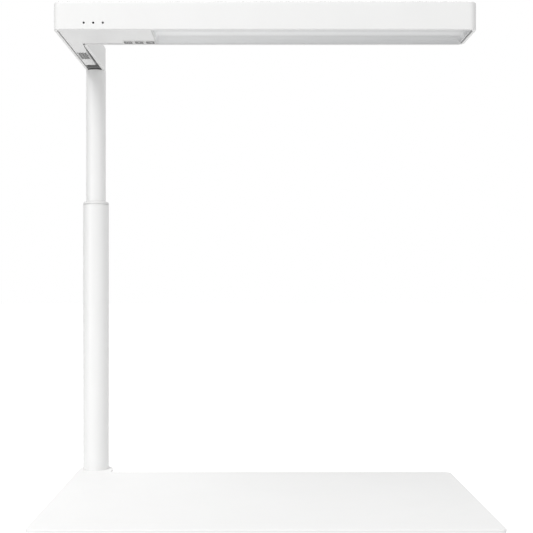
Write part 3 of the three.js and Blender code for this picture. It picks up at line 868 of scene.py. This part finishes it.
def shell_bosses(roof_inside):
    """Screw bosses from the frame up into the roof."""
    frame_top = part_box("head_frame")[1].z
    radius = 3.5 * MM
    boss = [(radius, frame_top + GAP), (radius, roof_inside + ROOF / 2)]
    return [turned("boss", boss, x, y, sides=32) for x, y in frame_screw_places()]


def shell_holes(roof_inside):
    """Blind holes for the frame's screws, the three indicator pinholes and the hole for the inlet."""
    frame_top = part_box("head_frame")[1].z
    past = 1 * MM
    blind_radius = 1.8 * MM
    blind_end = roof_inside + 0.6 * MM
    blind = [(blind_radius, frame_top - past), (blind_radius, blind_end)]
    holes = [turned("blind", blind, x, y, sides=24) for x, y in frame_screw_places()]
    pinhole = [(PINHOLE_RADIUS, -past), (PINHOLE_RADIUS, WALL + past)]
    for x in indicator_places():
        holes.append(moved(turned("pinhole", pinhole, 0, 0, sides=32), indicator_axis(x, BAR_FRONT)))
    inlet_radius = 4 * MM
    inlet_hole = [(inlet_radius, -past), (inlet_radius, WALL + past)]
    holes.append(moved(turned("inlet_hole", inlet_hole, 0, 0, sides=64), inlet_axis(shell_low.x)))
    return holes


def indicator_places():
    middle = (pipe_low.x + pipe_high.x) / 2
    return [middle + place * INDICATOR_PITCH for place in (-1, 0, 1)]


def indicator_axis(x, y):
    """Turns a piece made along +Z so that it runs along +Y from y, on the axis of the indicator at x."""
    return Matrix.Translation((x, y, PIPE_Z)) @ Matrix.Rotation(math.radians(-90), 4, "X")


def inlet_axis(x):
    """Turns a piece made along +Z so that it runs along +X from x, on the inlet's axis."""
    y = (inlet_low.y + inlet_high.y) / 2
    z = (inlet_low.z + inlet_high.z) / 2
    return Matrix.Translation((x, y, z)) @ Matrix.Rotation(math.radians(90), 4, "Y")


def grille_places():
    """Staggered rows of four and three holes."""
    middle = (cover_low.x + STRIP_RIGHT) / 2
    row_pitch = GRILLE_PITCH * math.sqrt(3) / 2
    places = []
    for row in range(math.floor(GRILLE_LENGTH / row_pitch) + 1):
        count = 4 - row % 2
        for i in range(count):
            offset = i - (count - 1) / 2
            places.append((middle + offset * GRILLE_PITCH, GRILLE_FROM + row * row_pitch))
    return places


def add_lower_cover():
    """A flat cover with three button windows and the grille."""
    half_x = CAP_WIDTH / 2 + GAP
    half_y = CAP_DEPTH / 2 + GAP
    windows = [box_about(*middle_of(f"button_{i}"), half_x, half_y, WINDOW_CORNER) for i in (1, 2, 3)]
    holes = [circle(x, y, GRILLE_HOLE, sides=20) for x, y in grille_places()]
    edge = 0.08 * MM
    cover = sheet("underside_cover", [cover_outline(), *windows, *holes], cover_low.z, cover_high.z, edge)
    dress(cover, "head", PLASTIC, "white_plastic", "lower_cover")


def add_dust_screen():
    """Dark foam behind the grille. It bulges into each hole until it is nearly flush, so its near-black
    also stands in for the shade inside the holes: painted shade.
    """
    low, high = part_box("dust_screen")
    parts = [block("screen", low, high, edge=0.15 * MM)]
    radius = GRILLE_HOLE - 0.02 * MM
    face = cover_low.z + 0.01 * MM
    shoulder = face + 0.06 * MM
    root = low.z + 0.05 * MM
    bulge = [(radius * 0.5, face), (radius * 0.94, face + 0.01 * MM), (radius, shoulder), (radius, root)]
    for x, y in grille_places():
        parts.append(turned("bulge", bulge, x, y, sides=16))
    screen = gathered("grille_foam", parts)
    dress(screen, "head", DARK_FOAM, "black_plastic", "dust_screen")


def add_diffuser():
    """A shallow dish whose rim is flush with the lower cover and whose sides curve into the flat window."""
    bottom = dish_low.z
    rim_top = bottom + DISH_RIM_HEIGHT
    back_height = dish_high.z - rim_top
    edge = 0.2 * MM
    steps = 10
    turns = [math.pi / 2 * i / steps for i in range(steps + 1)]
    rings = []
    for turn in reversed(turns):
        rings.append((dish_outline(0, 1 - math.cos(turn)), rim_top + back_height * math.sin(turn)))
    rings.append((dish_outline(0, 0), bottom + edge))
    rings.append((dish_outline(edge, 0), bottom))
    rings.append((dish_outline(DISH_RIM - edge, 0), bottom))
    for turn in turns:
        height = bottom + edge + (DISH_DEPTH - edge) * math.sin(turn)
        rings.append((dish_outline(DISH_RIM, 1 - math.cos(turn)), height))
    dish = loft("diffuser_dish", rings)
    dress(dish, "head", OPAL, "opal_diffuser", "diffuser")


def add_light_pipe():
    """A bar behind the front wall with three pins that end in domes in the pinholes."""
    bar_front = BAR_FRONT + WALL + GAP
    bar = block("bar", Vector((pipe_low.x, bar_front, pipe_low.z)), pipe_high, edge=0.3 * MM)
    radius = 0.7 * MM
    dome_height = 0.35 * MM
    recess = 0.5 * MM
    profile = []
    for turn in (0.2, 0.6, 1.0, 1.3, math.pi / 2):
        profile.append((radius * math.sin(turn), dome_height * (1 - math.cos(turn))))
    profile.append((radius, pipe_high.y - BAR_FRONT - 2 * recess))
    pins = []
    for x in indicator_places():
        pin = turned("pin", profile, 0, 0, sides=32)
        pins.append(moved(pin, indicator_axis(x, BAR_FRONT + recess)))
    pipe = combined(bar, pins, "UNION")
    pipe.name = "indicator_light_pipe"
    dress(pipe, "head", SMOKED, "smoked_plastic", "light_pipe")


def add_power_inlet():
    """Barrel jack: a body behind the wall, a rounded bezel in it, and a centre pin."""
    wall_inside = shell_low.x + WALL + GAP
    body = block("inlet_body", Vector((wall_inside, inlet_low.y, inlet_low.z)), inlet_high, edge=0.3 * MM)
    face = shell_low.x + 0.1 * MM
    bezel_radius = 3.7 * MM
    ring = [
        (bezel_radius - 0.4 * MM, 0),
        (bezel_radius - 0.1 * MM, 0.12 * MM),
        (bezel_radius, 0.4 * MM),
        (bezel_radius, wall_inside - face + 1 * MM),
    ]
    combined(body, [moved(turned("bezel", ring, 0, 0, sides=64), inlet_axis(face))], "UNION")
    depth = inlet_high.x - face - 1.5 * MM
    well_radius = 2.75 * MM
    funnel = [
        (well_radius + 1 * MM, -1 * MM),
        (well_radius + 0.3 * MM, 0),
        (well_radius, 0.4 * MM),
        (well_radius, depth),
    ]
    combined(body, [moved(turned("well", funnel, 0, 0, sides=64), inlet_axis(face))], "DIFFERENCE")
    body.name = "inlet_jack"
    dress(body, "head", BLACK, "black_plastic", "power_inlet")
    pin_radius = 1 * MM
    pin_recess = 1.5 * MM
    pin_profile = [
        (0.4 * MM, 0),
        (0.8 * MM, 0.2 * MM),
        (pin_radius, 0.6 * MM),
        (pin_radius, depth - 0.5 * MM),
    ]
    pin = moved(turned("inlet_centre_pin", pin_profile, 0, 0, sides=32), inlet_axis(face + pin_recess))
    dress(pin, "head", STEEL, "steel")


# ---------------------------------------------------------------- buttons and their pictograms


def add_button(i, body, outlines):
    """A cap with a lip above the cover, and its mark: a dark tile with the pictogram cut out."""
    x, y = middle_of(f"button_{i}")
    half_x = CAP_WIDTH / 2
    half_y = CAP_DEPTH / 2
    face = cap_low.z
    cap_inset = 2 * MM
    face_round = 0.4 * MM
    lip_edge = 0.1 * MM

    def cap_outline(inset):
        return box_about(x, y, half_x - inset, half_y - inset, max(CAP_CORNER - inset, 0.4 * MM))

    profile = fillet(
        [
            (cap_inset, face, 0),
            (0, face, face_round),
            (0, LIP_BOTTOM, lip_edge / 2),
            (-LIP_OVER, LIP_BOTTOM, lip_edge),
            (-LIP_OVER, cap_high.z, lip_edge),
            (cap_inset, cap_high.z, 0),
        ],
        steps=4,
        closed=False,
    )
    cap = raised(f"push_button_{i}", cap_outline, profile)
    dress(cap, body, BUTTON, "white_plastic", f"button_{i}")
    margin = 0.4 * MM
    proud = 0.03 * MM
    sunk = 0.1 * MM
    edge = 0.01 * MM
    tile = box_about(x, y, half_x - margin, half_y - margin, TILE_CORNER)
    mark = sheet(f"button_mark_{i}", [tile, *outlines(x, y)], face - proud, face + sunk, edge)
    dress(mark, body, INK, "black_plastic")


def arc_band(x, y, inner, outer, start, end):
    """A flat band between two radii from the angle start to the angle end."""
    steps = 28
    angles = [start + (end - start) * i / steps for i in range(steps + 1)]
    outside = [(x + outer * math.cos(a), y + outer * math.sin(a)) for a in angles]
    inside = [(x + inner * math.cos(a), y + inner * math.sin(a)) for a in reversed(angles)]
    return outside + inside


def power_mark(x, y):
    """An open ring with an upright bar in its gap."""
    gap = math.radians(30)
    top = math.radians(90)
    ring = arc_band(x, y - 0.3 * MM, 1.6 * MM, 2.1 * MM, top + gap, top - gap + math.tau)
    half_bar = 0.25 * MM
    bar = rounded_box(x - half_bar, x + half_bar, y, y + 2.3 * MM, 0.2 * MM)
    return [ring, bar]


def sun_mark(x, y):
    """A disc with rays."""
    rays = 8
    disc_radius = 0.9 * MM
    ray_start = 1.6 * MM
    ray_end = 2.6 * MM
    half_ray = 0.2 * MM
    outlines = [circle(x, y, disc_radius, sides=40)]
    middle = Vector((x, y))
    for i in range(rays):
        turn = math.tau * i / rays
        along = Vector((math.cos(turn), math.sin(turn)))
        across = Vector((-along.y, along.x)) * half_ray
        near = middle + along * ray_start
        far = middle + along * ray_end
        corners = (near - across, far - across, far + across, near + across)
        outlines.append([tuple(corner) for corner in corners])
    return outlines


def dimmer_mark(x, y):
    """A row of three bars that grow from left to right."""
    bar_width = 0.7 * MM
    bar_pitch = 1.5 * MM
    first = x - 1.9 * MM
    bottom = y - 2 * MM
    outlines = []
    for i, height in enumerate((1.2 * MM, 2.6 * MM, 4 * MM)):
        left = first + i * bar_pitch
        outlines.append(rounded_box(left, left + bar_width, bottom, bottom + height, 0.2 * MM))
    return outlines


# ---------------------------------------------------------------- finish of the CAD nodes that stay

KEPT_FINISHES = {
    STEEL: [
        "foot_plug",
        "swivel_spigot",
        "spring_washer",
        "swivel_screw",
        "socket_screw",
        "board_spacer_1",
        "board_spacer_2",
        *[f"frame_screw_{i}" for i in range(1, 6)],
    ],
    BLACK: [
        "lower_guide",
        # The swivel washer is black partly as painted shade in the arm's pocket.
        "swivel_washer",
        *[f"plunger_{i}" for i in (1, 2, 3)],
        *[f"switch_{i}" for i in (1, 2, 3)],
    ],
    RUBBER: ["brake_ring"],
    FOAM: ["tray_pad_1", "tray_pad_2"],
    # The socket block's dark grey is partly painted shade in the arm's pocket.
    CAST_METAL: ["socket_block"],
    ALUMINIUM: ["head_frame"],
    PLASTIC: ["led_tray"],
    CIRCUIT: ["led_board", "control_board"],
    # The liner's dark grey is painted shade in the arm's pocket.
    LINER: ["arm_liner"],
    SHEATH: ["inlet_wire", "led_wire"],
}


def finish_kept_nodes():
    for material, nodes in KEPT_FINISHES.items():
        for node in nodes:
            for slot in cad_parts[node].material_slots:
                slot.material = material


# ---------------------------------------------------------------- camera, floor and light

# The camera looks level along +Y. Its shift is the photograph's framing.
CAMERA_X = -9.4 * MM
CAMERA_BEFORE_PLATE = 779.6 * MM
CAMERA_OVER_PLATE = 189.4 * MM
LENS = 70.9
SHIFT_X = 0.0244
SHIFT_Y = 0.0159


def add_camera():
    data = bpy.data.cameras.new("camera")
    data.sensor_width = 36
    data.lens = LENS
    data.shift_x = SHIFT_X
    data.shift_y = SHIFT_Y
    data.clip_start = 0.05
    data.clip_end = 20
    camera = add_object("camera", data)
    camera.location = (CAMERA_X, plate_low.y - CAMERA_BEFORE_PLATE, plate_high.z + CAMERA_OVER_PLATE)
    camera.rotation_euler = (math.radians(90), 0, 0)
    bpy.context.scene.camera = camera


FLOOR_SIZE = 12
FLOOR_GLOW = 0.8
FLOOR_ALBEDO = 0.5


def add_floor():
    """A white floor that glows, as on a light box, so that shadows stay faint.

    It sends no diffuse light to the object: what lights that from below is the world's GROUND.
    """
    mesh = bpy.data.meshes.new("floor")
    half = FLOOR_SIZE / 2
    corners = [(-half, -half, 0), (half, -half, 0), (half, half, 0), (-half, half, 0)]
    mesh.from_pydata(corners, [], [(0, 1, 2, 3)])
    floor = add_object("floor", mesh)
    surface = Surface("studio_floor", 0.9)
    surface.shader.inputs["Base Color"].default_value = (FLOOR_ALBEDO, FLOOR_ALBEDO, FLOOR_ALBEDO, 1)
    surface.specular(0)
    surface.shader.inputs["Emission Color"].default_value = (1, 1, 1, 1)
    surface.shader.inputs["Emission Strength"].default_value = FLOOR_GLOW
    mesh.materials.append(surface.material)
    floor.visible_diffuse = False


# Strengths of the world: behind the object, around it, on its left as a share of that, and below it.
SKY_BACK = 1.0
SKY_ROOM = 0.66
SKY_LEFT_SHARE = 0.04
GROUND = 1.0


def add_world():
    """A grey room, white behind the object and dark on its left. The camera sees plain white."""
    world = bpy.data.worlds.new("studio")
    world.use_nodes = True
    graph = Graph(world.node_tree)
    direction = graph.output("ShaderNodeTexCoord", "Generated")
    to_back = graph.along("Y", direction)
    to_right = graph.along("X", direction)
    up = graph.along("Z", direction)
    room = graph.ranged(to_back, SKY_ROOM, SKY_BACK, start=0.45, end=0.9, kind="SMOOTHSTEP")
    share = graph.ranged(to_right, SKY_LEFT_SHARE, 1, start=-1, end=-0.3, kind="SMOOTHSTEP")
    sky = graph.calculate("MULTIPLY", room, share)
    lit = graph.ranged(up, GROUND, sky, start=-0.02, end=0)
    seen = graph.calculate("MAXIMUM", lit, graph.output("ShaderNodeLightPath", "Is Camera Ray"))
    background = graph.nodes["Background"]
    background.inputs["Color"].default_value = (1, 1, 1, 1)
    graph.feed(background.inputs["Strength"], seen)
    bpy.context.scene.world = world


def aim(light, target, azimuth, elevation, distance):
    """Places a light around its target. Azimuth is measured from the front, positive to the right."""
    turn = math.radians(azimuth)
    rise = math.radians(elevation)
    flat = math.cos(rise)
    towards = Vector((math.sin(turn) * flat, -math.cos(turn) * flat, math.sin(rise)))
    light.location = target + towards * distance
    light.rotation_euler = towards.to_track_quat("Z", "Y").to_euler()


def soft_box(name, width, height, energy):
    data = bpy.data.lights.new(name, "AREA")
    data.shape = "RECTANGLE"
    data.size = width
    data.size_y = height
    data.energy = energy
    return add_object(name, data)


def spot(name, angle, radius, energy):
    """A spot with a fully soft edge. Its radius softens the shadows."""
    data = bpy.data.lights.new(name, "SPOT")
    data.spot_size = math.radians(angle)
    data.spot_blend = 1
    data.shadow_soft_size = radius
    data.energy = energy
    return add_object(name, data)


def add_lights():
    """A large key from the upper left, a strip at the left, a fill at the right and a spot on the foot."""
    middle = Vector((-0.05, 0, 0.2))
    far_end = Vector((dish_high.x, dish_low.y, dish_low.z))
    foot = Vector((POST_X, POST_Y - 60 * MM, 0.03))
    aim(soft_box("key", 0.8, 0.8, energy=17.5), middle, azimuth=-28, elevation=52, distance=1.6)
    aim(soft_box("left_strip", 0.15, 0.7, energy=2.3), middle, azimuth=-56, elevation=-1, distance=1.2)
    aim(soft_box("right_fill", 0.3, 0.3, energy=0.55), far_end, azimuth=32, elevation=8, distance=0.9)
    aim(spot("foot_spot", 16, 0.12, energy=11), foot, azimuth=-20, elevation=40, distance=1.2)


add_camera()
add_base()
add_feet()
add_post_screw()
add_outer_tube()
add_inner_tube()
add_collar()
add_head_shell()
add_lower_cover()
add_dust_screen()
add_diffuser()
add_light_pipe()
add_power_inlet()
add_button(1, "button_left", power_mark)
add_button(2, "button_middle", sun_mark)
add_button(3, "button_right", dimmer_mark)
finish_kept_nodes()
add_floor()
add_world()
add_lights()
bpy.context.scene.view_settings.view_transform = "Standard"
